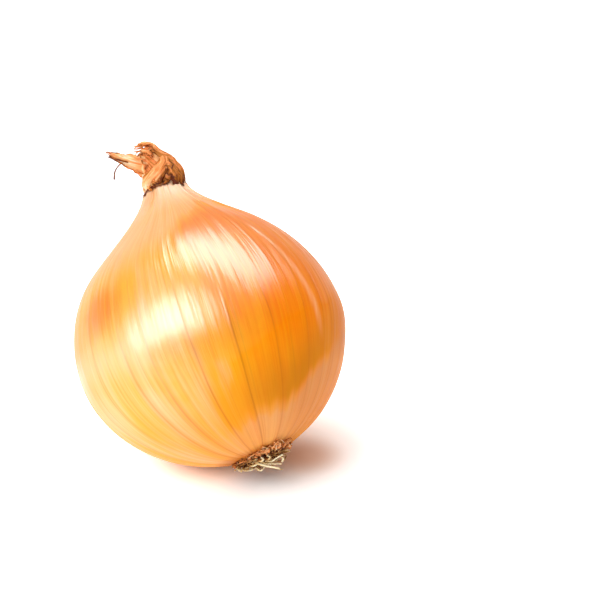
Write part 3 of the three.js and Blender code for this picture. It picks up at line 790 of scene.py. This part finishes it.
def skin_fringe():
    """Torn tips of skin that curl off the bulb round its root plate."""
    draw = random_from(5)
    fringe = Gathering()
    for index in range(FRINGE_TEETH):
        azimuth = (index + draw(0, 0.8)) / FRINGE_TEETH * TURN
        length = draw(1.3, 5.2) * (0.2 + 0.8 * sector(azimuth, FRINGE_AZIMUTH, 0.56))
        width = draw(0.9, 2.0)
        lift = draw(-0.2, 0.7)
        swing = draw(-0.12, 0.12)
        path = [
            around_axis(RIM_RADIUS - 0.5, azimuth, 1.6),
            around_axis(RIM_RADIUS + 0.1, azimuth, 0.7),
            around_axis(RIM_RADIUS + 0.5 * length, azimuth + swing, 0.35 - lift),
            off_skin(RIM_RADIUS + length, azimuth + 1.6 * swing, 0.5 + lift),
        ]
        tones = [0.85, draw(0.55, 0.8), draw(0.2, 0.65)]
        widths = [width, 0.9 * width, 0.7 * width, 0.3]
        sheet(fringe, 100 + index, path, widths, [0.5, 0.6, 0.7], [0, 0, EQUATOR_HEIGHT], tones,
              rows=12, columns=7, thickness=0.22, crumple=0.2, wrinkle=0.06, ragged=0.2, frayed=0.3)

    curls_middle = math.radians(CURLS_AZIMUTH)
    for index in range(CURLS):
        azimuth = curls_middle + draw(-0.56, 0.56)
        length = draw(1.4, 6.4) * bell((azimuth - curls_middle) / 0.6)
        swing = draw(-0.3, 0.3)
        lift = draw(0.2, 1.1)
        bend = draw(-0.2, 0.2)
        back = length * draw(0.5, 1.0)
        drop = lift + draw(0.3, 1.1)
        path = [
            around_axis(RIM_RADIUS - 0.7, azimuth, 0.3),
            off_skin(RIM_RADIUS + 0.4 * length, azimuth + 0.3 * swing, 0.25),
            off_skin(RIM_RADIUS + length, azimuth + swing, lift),
            off_skin(RIM_RADIUS + back, azimuth + swing + bend, drop),
        ]
        tones = [0.85, draw(0.6, 0.9), draw(0.1, 0.9), draw(0.0, 0.6)]
        strand(fringe, 300 + index, path, [0.15, 0.15, 0.14, 0.07], tones, steps=14, sides=5)
    fringe.piece("skin_fringe", "skin", "bulb", leaf_material("dry_fringe"))


PLATE_SIDES = 60
PLATE_TONE = 0.7
SHORT_ROOTS = 130
ROOTS_OFF_FLOOR = 1.3 * MM

# The long roots in front: path, radius and tone
LONG_ROOTS = [
    ([[-2.3, -4.5, 0.2], [-2, -5.5, -1.6], [0.4, -6, -3.4], [3.7, -6, -5.4]], 0.34, 0),
    ([[-0.9, -3.5, -0.2], [-0.3, -4.5, -1.9], [2, -5, -3.2], [4.7, -4.5, -4.2]], 0.22, 0.1),
    ([[0.4, -5, -0.9], [1.7, -6, -2.5], [3.6, -6.5, -2.3], [5.9, -6.5, -1.9]], 0.27, 0.05),
    ([[4.1, -4, -0.9], [4.9, -5.2, -1.9], [5.5, -5.5, -2.9], [4.9, -5, -3.7]], 0.3, 0),
    ([[-1.2, -6.4, -0.4], [-0.8, -7.4, -1.7], [0.1, -7.8, -1.3], [-0.4, -7.4, -0.3]], 0.3, 0.1),
    ([[0.7, -6.4, -0.2], [1.3, -7.2, -1.9], [2.1, -7.6, -1.4], [1.4, -7.2, -0.7]], 0.28, 0.15),
    ([[-4.9, -3.5, -0.3], [-3.7, -5, -0.4], [-1.9, -6, -0.6], [-0.1, -6, -0.8]], 0.26, 0.3),
    ([[-4, -2.5, -0.2], [-3.6, -4, -1.7], [-2.1, -5, -1.8], [-2.6, -4.6, -0.8]], 0.28, 0.05),
    ([[-6.5, -1, 0], [-7.6, -1.5, -0.2], [-7.5, -1.5, -1.3], [-6.9, -1, -2]], 0.4, 0.3),
    ([[-5.7, -1, -0.5], [-6.2, -2, -1.9], [-4.6, -2.5, -2.6], [-2.7, -2, -2.5]], 0.24, 0.2),
    ([[-3.3, -1.5, -0.7], [-2.5, -2.5, -2.7], [-1.6, -3, -3.8], [-0.1, -3, -3.1]], 0.26, 0.1),
    ([[-6.6, 1, -0.2], [-5.4, 0, -1.2], [-3.3, -1, -1.4], [-1.8, -1, -2.3]], 0.26, 0.45),
    ([[3.4, -2, -1], [3.9, -3, -2.9], [5.7, -3, -3.2], [6.7, -2.6, -2.2]], 0.22, 0.5),
    ([[1.5, -3, -1.1], [1.7, -4, -3.1], [2.7, -4, -4.7], [4.4, -4, -5.8]], 0.2, 0.35),
]


def to_floor(path):
    """A path kept just clear of the floor and of the bulb's rim."""
    points = np.asarray(path, dtype=float)
    wide = np.hypot(points[:, 0], points[:, 1]) > SOCKET_RADIUS - 0.4
    points[wide, 2] = np.minimum(points[wide, 2], -0.6)
    low = placed(points)
    low[:, 2] = np.maximum(low[:, 2], ROOTS_OFF_FLOOR)
    return (low - PLACEMENT[:3, 3]) @ np.linalg.inv(PLACEMENT[:3, :3]).T


def root_plate(gathering):
    """The domed root plate, a little uneven, in its socket."""
    share = np.array([0.12, 0.3, 0.45, 0.6, 0.75, 0.88, 1.0])
    radius = np.append(share * PLATE_RADIUS, [PLATE_RADIUS, PLATE_RADIUS - 0.4])[:, None]
    height = np.append(-PLATE_BULGE * (1 - share**2), [1.0, SOCKET_DEPTH - 0.1])[:, None]
    azimuth = (np.arange(PLATE_SIDES) / PLATE_SIDES * TURN)[None, :]
    radius = radius * (1 - 0.02 * (1 + np.sin(9 * azimuth)))
    rings = around_axis(radius, azimuth, height)
    dome = rings[:len(share)]
    dome[..., 2] += 0.15 * ripples(dome, 1.6, 8)
    points = np.concatenate([rings.reshape(-1, 3), [[0, 0, -PLATE_BULGE], [0, 0, SOCKET_DEPTH - 0.1]]])
    values = {"grain": points, "tone": np.full(len(points), PLATE_TONE), "edge": np.zeros(len(points))}
    gathering.add(points, ring_faces(len(rings), PLATE_SIDES), **values)


def roots():
    draw = random_from(23)
    tuft = Gathering()
    root_plate(tuft)
    for index, (path, radius, tone) in enumerate(LONG_ROOTS):
        radii = [radius, radius, 0.95 * radius, 0.75 * radius]
        strand(tuft, 400 + index, to_floor(path), radii, [0.9, tone + 0.25, tone, tone], steps=24, sides=8)

    for index in range(SHORT_ROOTS):
        spread = math.sqrt((index + 0.5) / SHORT_ROOTS)
        azimuth = index * GOLDEN_ANGLE + draw(-0.2, 0.2)
        outward = np.array([math.cos(azimuth), math.sin(azimuth), 0])
        across = np.array([-math.sin(azimuth), math.cos(azimuth), 0])
        base = 0.93 * PLATE_RADIUS * spread * outward
        base[2] = -PLATE_BULGE * (1 - spread**2)
        length = draw(1.4, 3.6)
        drift = np.array([draw(-0.6, 1.0), draw(-0.3, 0.3), 0])
        lean = 0.1 + 0.6 * spread + draw(-0.3, 0.3)
        path = [base - 0.4 * outward + [0, 0, 0.8], base]
        for step in range(4):
            lean += draw(-0.45, 0.45)
            way = math.sin(lean) * outward + draw(-0.7, 0.7) * across + (0.3 + 0.25 * step) * drift
            way = way + [0, 0, -math.cos(lean) * (0.7 - 0.2 * step)]
            path.append(path[-1] + way / np.linalg.norm(way) * length / 4)
        radius = draw(0.14, 0.3)
        radii = [radius, radius, 0.8 * radius, 0.6 * radius]
        tones = [0.85, 0.7, draw(0.3, 0.65), draw(0.1, 0.55)]
        strand(tuft, 200 + index, to_floor(path), radii, tones, steps=14)
    tuft.piece("dry_roots", "root", "roots", root_material())


# Materials

def colour(red, green, blue):
    """A colour as seen on a screen, from 0 to 255 a channel, as the linear colour that a shader takes."""
    def linear(channel):
        value = channel / 255
        return value / 12.92 if value <= 0.04045 else ((value + 0.055) / 1.055) ** 2.4

    return (linear(red), linear(green), linear(blue), 1.0)


# From palest to darkest
LEAF_TONES = [(254, 228, 190), (253, 190, 128), (248, 146, 82), (184, 108, 34), (100, 38, 4)]
ROOT_TONES = [(255, 244, 206), (240, 210, 148), (186, 130, 66), (116, 62, 20), (60, 26, 8)]


class Recipe:
    """The nodes of a material or of the surroundings, added one by one."""

    def __init__(self, owner, shader="Principled BSDF"):
        self.owner = owner
        owner.use_nodes = True
        self.tree = owner.node_tree
        self.shader = self.tree.nodes[shader]

    def add(self, kind, inputs=None, output=0, **settings):
        made = self.tree.nodes.new("ShaderNode" + kind)
        for key, value in settings.items():
            setattr(made, key, value)
        for key, value in (inputs or {}).items():
            self.feed(made.inputs[key], value)
        return made.outputs[output]

    def feed(self, socket, value):
        if isinstance(value, bpy.types.NodeSocket):
            self.tree.links.new(value, socket)
        else:
            socket.default_value = value

    def set(self, **inputs):
        for key, value in inputs.items():
            self.feed(self.shader.inputs[key.replace("_", " ")], value)

    def value(self, name):
        return self.add("Attribute", output="Fac", attribute_name=name)

    def vector(self, name):
        return self.add("Attribute", output="Vector", attribute_name=name)

    def math(self, operation, first, second):
        return self.add("Math", {0: first, 1: second}, operation=operation)

    def plus(self, first, second):
        return self.math("ADD", first, second)

    def times(self, first, second):
        return self.math("MULTIPLY", first, second)

    def distance(self, point, place):
        return self.add("VectorMath", {0: point, 1: place}, output="Value", operation="DISTANCE")

    def stretch(self, vector, *scale):
        return self.add("VectorMath", {0: vector, 1: scale}, operation="MULTIPLY")

    def noise(self, vector, scale, detail, distortion=0.0):
        stretched = self.stretch(vector, *scale)
        inputs = {"Vector": stretched, "Scale": 1.0, "Detail": detail, "Distortion": distortion}
        return self.add("TexNoise", inputs)

    def span(self, value, start, end, low=0.0, high=1.0):
        """The value's way from start to end, smoothly, as low to high."""
        inputs = {"Value": value, "From Min": start, "From Max": end, "To Min": low, "To Max": high}
        return self.add("MapRange", inputs, interpolation_type="SMOOTHSTEP")

    def mix(self, share, first, second):
        made = self.tree.nodes.new("ShaderNodeMix")
        made.data_type = "RGBA"
        self.feed(made.inputs[0], share)
        self.feed(made.inputs[6], first)
        self.feed(made.inputs[7], second)
        return made.outputs[2]

    def bump(self, height, distance, strength, normal=None):
        inputs = {"Height": height, "Distance": distance, "Strength": strength}
        if normal is not None:
            inputs["Normal"] = normal
        return self.add("Bump", inputs)


def skin_material():
    """Golden papery skin: orange with fine lengthwise fibres, thin dark veins and a dull outer layer."""
    r = Recipe(bpy.data.materials.new("onion_skin"))
    fibre = r.vector("fibre")
    height = r.value("height")
    layer = r.value("layer")
    painted_olive_shade = r.value("painted_olive_shade")
    fine = r.noise(fibre, (62, 62, 3.0), detail=4)
    broad = r.noise(fibre, (14, 14, 2.0), detail=3)
    patches = r.noise(fibre, (2.2, 2.2, 3.0), detail=3, distortion=0.4)

    # peach to deep orange, then painted olive shade, pale fibres, a painted reflection of the floor at the
    # foot, and brown spots with painted shade along the flanks
    warmth = r.plus(r.value("warmth"), r.span(patches, 0.3, 0.7, -0.12, 0.12))
    warmth = r.plus(warmth, r.span(broad, 0.3, 0.7, -0.06, 0.06))
    skin = r.mix(r.span(warmth, 0.05, 0.5), colour(250, 195, 146), colour(253, 166, 22))
    skin = r.mix(r.span(warmth, 0.5, 1.0), skin, colour(250, 128, 2))
    # painted shade: olive on the front right
    skin = r.mix(r.times(painted_olive_shade, 0.85), skin, colour(200, 122, 0))
    light_fibre = r.mix(r.span(warmth, 0.1, 0.6), colour(255, 222, 160), colour(255, 184, 30))
    light = r.times(r.span(fine, 0.4, 0.75, 0.0, 0.3), r.math("SUBTRACT", 1.0, painted_olive_shade))
    skin = r.mix(light, skin, light_fibre)
    # painted reflection of the floor: salmon at the foot
    skin = r.mix(r.times(r.value("painted_floor_reflection"), 0.7), skin, colour(210, 150, 98))
    # brown spots, with painted shade along both flanks
    skin = r.mix(r.times(r.value("brown"), 0.6), skin, colour(198, 116, 54))
    skin = r.mix(r.span(fine, 0.5, 0.2, 0.0, 0.2), skin, colour(226, 108, 6))

    # dark veins, with a faint halo and fading along their length
    distance = r.value("vein_distance")
    along = r.span(r.noise(fibre, (4, 4, 4), detail=2), 0.3, 0.55, 0.45, 1.0)
    strength = r.times(r.value("vein_strength"), along)
    core = r.times(r.span(distance, 0.4, 0.08), strength)
    halo = r.times(r.span(distance, 2.4, 0.2), strength)
    skin = r.mix(r.times(halo, 0.22), skin, colour(212, 116, 12))
    skin = r.mix(r.times(core, 0.42), skin, colour(184, 88, 4))

    # faint streaks between the veins
    streak = r.span(r.noise(fibre, (30, 30, 1.4), detail=2), 0.64, 0.72, 0.0, 0.3)
    skin = r.mix(streak, skin, colour(206, 116, 16))

    # the outer layer, a painted highlight along the lap of a loose edge, the neck and the root end
    pale = r.mix(r.span(fine, 0.3, 0.7), colour(240, 166, 110), colour(247, 186, 136))
    pale = r.mix(r.span(height, 74, 85), pale, colour(252, 214, 184))
    skin = r.mix(r.times(layer, 0.8), skin, pale)
    # painted highlight: a pale line along the lap's edge, beside the real step in the skin
    skin = r.mix(r.times(r.value("lap"), 0.4), skin, colour(255, 206, 160))
    skin = r.mix(r.times(r.value("crease"), 0.9), skin, colour(96, 40, 6))
    root_brown = r.times(r.span(height, 2.6, 0.8), r.span(broad, 0.3, 0.6, 0.5, 0.9))
    skin = r.mix(root_brown, skin, colour(186, 96, 26))

    gloss = r.times(r.math("SUBTRACT", 1.0, r.times(layer, 0.6)), r.value("shine"))
    rough = r.plus(r.span(broad, 0.3, 0.7, 0.32, 0.42), r.times(layer, 0.1))
    pucker = r.noise(fibre, (12, 12, 8), detail=2)
    grain = r.noise(fibre, (130, 130, 9), detail=2)
    relief = r.bump(pucker, 0.0008, 0.21)
    relief = r.bump(broad, 0.0007, 0.45, relief)
    relief = r.bump(fine, 0.00014, 0.5, relief)
    relief = r.bump(grain, 0.00005, 0.4, relief)
    r.set(Base_Color=r.stretch(skin, 0.87, 0.86, 0.87), Roughness=rough, IOR=1.06, Normal=relief)
    r.set(Coat_Weight=gloss, Coat_Roughness=0.31, Coat_IOR=2.5, Coat_Normal=relief)
    r.set(Subsurface_Weight=0.1, Subsurface_Scale=0.003, Subsurface_Radius=(1.0, 0.4, 0.08))
    return r.owner


def dry_colours(r, tones):
    """Colour, fine grain and stripes of something dry, from its palest tone at 0 to its darkest at 1."""
    grain = r.vector("grain")
    stripes = r.noise(grain, (2.6, 0.16, 1.0), detail=4)
    fine = r.noise(grain, (9.0, 0.7, 1.0), detail=3)
    blots = r.noise(grain, (0.8, 0.5, 1.0), detail=2)
    tone = r.plus(r.value("tone"), r.span(stripes, 0.3, 0.7, 0.2, -0.2))
    tone = r.plus(tone, r.span(blots, 0.3, 0.7, 0.08, -0.08))
    tone = r.plus(tone, r.span(r.value("edge"), 0.72, 1.0, 0.0, 0.4))
    tones = [colour(*each) for each in tones]
    made = tones[0]
    steps = len(tones) - 1
    for index in range(steps):
        made = r.mix(r.span(tone, index / steps, (index + 1) / steps), made, tones[index + 1])
    made = r.mix(r.span(stripes, 0.62, 0.7, 0.0, 0.55), made, tones[-2])
    return r.stretch(made, 0.84, 0.84, 0.84), fine, stripes


def leaf_material(name):
    """Papery dry leaf: cream to orange and dark brown, striped along its length."""
    r = Recipe(bpy.data.materials.new(name))
    made, fine, stripes = dry_colours(r, LEAF_TONES)
    rough = r.span(fine, 0.3, 0.7, 0.4, 0.62)
    relief = r.bump(stripes, 0.0003, 0.5, r.bump(fine, 0.0001, 0.6))
    r.set(Base_Color=made, Roughness=rough, IOR=1.25, Normal=relief)
    r.set(Subsurface_Weight=0.1, Subsurface_Scale=0.0015, Subsurface_Radius=(1.0, 0.45, 0.15))
    return r.owner


def root_material():
    """Dry roots: pale straw at their ends and dark brown where they leave the plate."""
    r = Recipe(bpy.data.materials.new("dry_root"))
    made, fine, _ = dry_colours(r, ROOT_TONES)
    rough = r.span(fine, 0.3, 0.7, 0.5, 0.7)
    r.set(Base_Color=made, Roughness=rough, IOR=1.3, Normal=r.bump(fine, 0.0001, 0.5))
    return r.owner


# Surroundings, in metres

FLOOR_SIZE = 8
FLOOR_GAP = 0.00002
CONTACT_MIDDLE = (0, -0.003, 0)
# the middle of the floor's painted shadow
PAINTED_SHADOW_MIDDLE = (0.029, -0.005, 0)
SHADOWED_SIDE = (0.93, -0.3, 0.2)
LIGHT_TARGET = Vector((0, 0, 0.04))

# Windows: direction and distance from the onion, size, power in watts, and the way their long side runs
WINDOWS = {
    "window_left": ((-0.67, -0.55, 0.52), 0.7, (0.76, 0.34), 3.15, (0.52, -0.24, 0.82)),
    "window_above": ((0.22, 0.29, 0.93), 0.75, (1.0, 0.5), 6.2, (1, -0.25, 0)),
    "window_front": ((-0.22, -0.62, 0.75), 0.75, (0.5, 0.42), 1.9, (0.62, -0.22, 0)),
}


def floor_material():
    """A white floor with a painted warm shadow by the roots, which glows a little away from the onion, so
    that it is white there too.
    """
    r = Recipe(bpy.data.materials.new("pale_floor"))
    place = r.add("TexCoord", output="Object")
    from_painted_shadow = r.distance(place, PAINTED_SHADOW_MIDDLE)
    from_contact = r.distance(place, CONTACT_MIDDLE)
    white = r.mix(r.noise(place, (1, 1, 1), detail=2), colour(251, 251, 251), colour(248, 248, 248))
    # painted shadow: warm grey in the floor's colour by the roots
    r.set(Base_Color=r.mix(r.span(from_painted_shadow, 0.002, 0.014), colour(222, 196, 180), white), Roughness=0.7)
    near_glow = r.times(r.span(from_painted_shadow, 0.005, 0.055, 0.0, 0.7), r.span(from_contact, 0.004, 0.022))
    far_glow = r.span(from_painted_shadow, 0.3, 1.2, 0.0, 0.3)
    r.set(Emission_Color=(1, 1, 1, 1), Emission_Strength=r.plus(near_glow, far_glow))
    return r.owner


def floor():
    bpy.ops.mesh.primitive_plane_add(size=FLOOR_SIZE, location=(0, 0, -FLOOR_GAP))
    made = bpy.context.object
    made.name = "floor"
    made.data.materials.append(floor_material())


def softbox(name, direction, distance, size, power, long_side):
    """A rectangular light that faces the onion's middle from the given direction."""
    light = bpy.data.lights.new(name, "AREA")
    light.shape = "RECTANGLE"
    light.size, light.size_y = size
    light.energy = power
    made = add_object(name, light)
    away = Vector(direction).normalized()
    along = Vector(long_side)
    along = (along - away * along.dot(away)).normalized()
    made.location = LIGHT_TARGET + away * distance
    made.rotation_euler = Matrix([along, away.cross(along), away]).transposed().to_euler()


def sky():
    """White low down, as the floor is, and darker above that towards the right."""
    r = Recipe(bpy.data.worlds.new("studio"), "Background")
    direction = r.add("TexCoord", output="Generated")
    facing = r.add("VectorMath", {0: direction, 1: SHADOWED_SIDE}, output="Value", operation="DOT_PRODUCT")
    up = r.add("SeparateXYZ", {0: direction}, output="Z")
    high_light = r.span(facing, -0.1, 0.8, 0.24, 0.04)
    low_light = r.span(up, 0.04, 0.09, 0.85, 0.0)
    r.set(Color=(1, 1, 1, 1), Strength=r.plus(high_light, low_light))
    bpy.context.scene.world = r.owner
    bpy.context.scene.view_settings.view_transform = "Standard"


CAMERA_ELEVATION = math.radians(25)
CAMERA_DISTANCE = 0.492
CAMERA_LENS = 100
BELLY = (-2.7, 0, 40)
BELLY_TO_VIEW_CENTRE = (0.0274, 0.0098)


def camera():
    """The photograph's view: from the front, looking down, with the onion left of the middle."""
    across = Vector((1, 0, 0))
    up = Vector((0, math.sin(CAMERA_ELEVATION), math.cos(CAMERA_ELEVATION)))
    back = across.cross(up)
    right, high = BELLY_TO_VIEW_CENTRE
    aim = placement() @ Vector(BELLY) + across * right + up * high
    lens = bpy.data.cameras.new("camera")
    lens.lens = CAMERA_LENS
    made = add_object("camera", lens)
    made.location = aim + back * CAMERA_DISTANCE
    made.rotation_euler = back.to_track_quat("Z", "Y").to_euler()
    bpy.context.scene.camera = made


camera()
bulb()
skin_fringe()
dry_neck()
roots()
floor()
for window, setup in WINDOWS.items():
    softbox(window, *setup)
sky()
